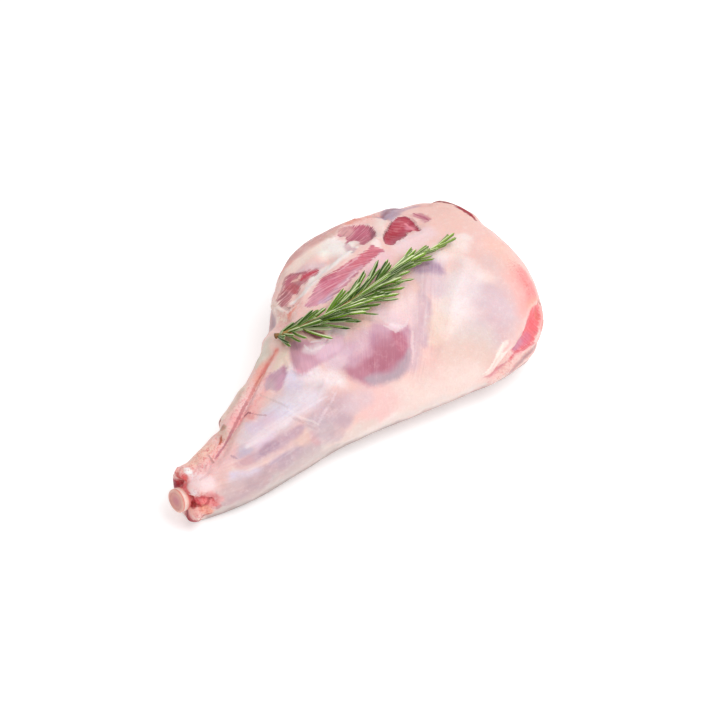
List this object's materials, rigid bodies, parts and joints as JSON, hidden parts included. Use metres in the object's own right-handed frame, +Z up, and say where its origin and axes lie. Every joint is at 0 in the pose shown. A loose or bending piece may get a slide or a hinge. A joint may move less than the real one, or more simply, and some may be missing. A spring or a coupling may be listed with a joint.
{
  "type": "raw leg of lamb",
  "caption": "Whole raw leg of lamb lying on its side, with fat cover, red muscle showing through, the cut shank bone at the end and a rosemary sprig on top",
  "frame": {"origin": "On the floor, under the middle of the object's box", "axes": "+X along the leg from the cut shank to the rump, +Y to the far side with the hollow muscles, +Z up; the leg lies on its flat side"},
  "size_m": [0.3482, 0.1878, 0.1065],
  "materials": {
    "lamb_meat": "moist satin: pinkish cream fat and membrane over mauve and red muscle",
    "lamb_bone": "moist matt sawn bone with a paler rim of gristle",
    "rosemary": "satin green needles with pale midribs on a tan woody stem"
  },
  "bodies": {
    "root": {"leg_meat": "lamb_meat", "shank_bone": "lamb_bone", "rosemary_sprig": "rosemary"}
  },
  "joints": []
}
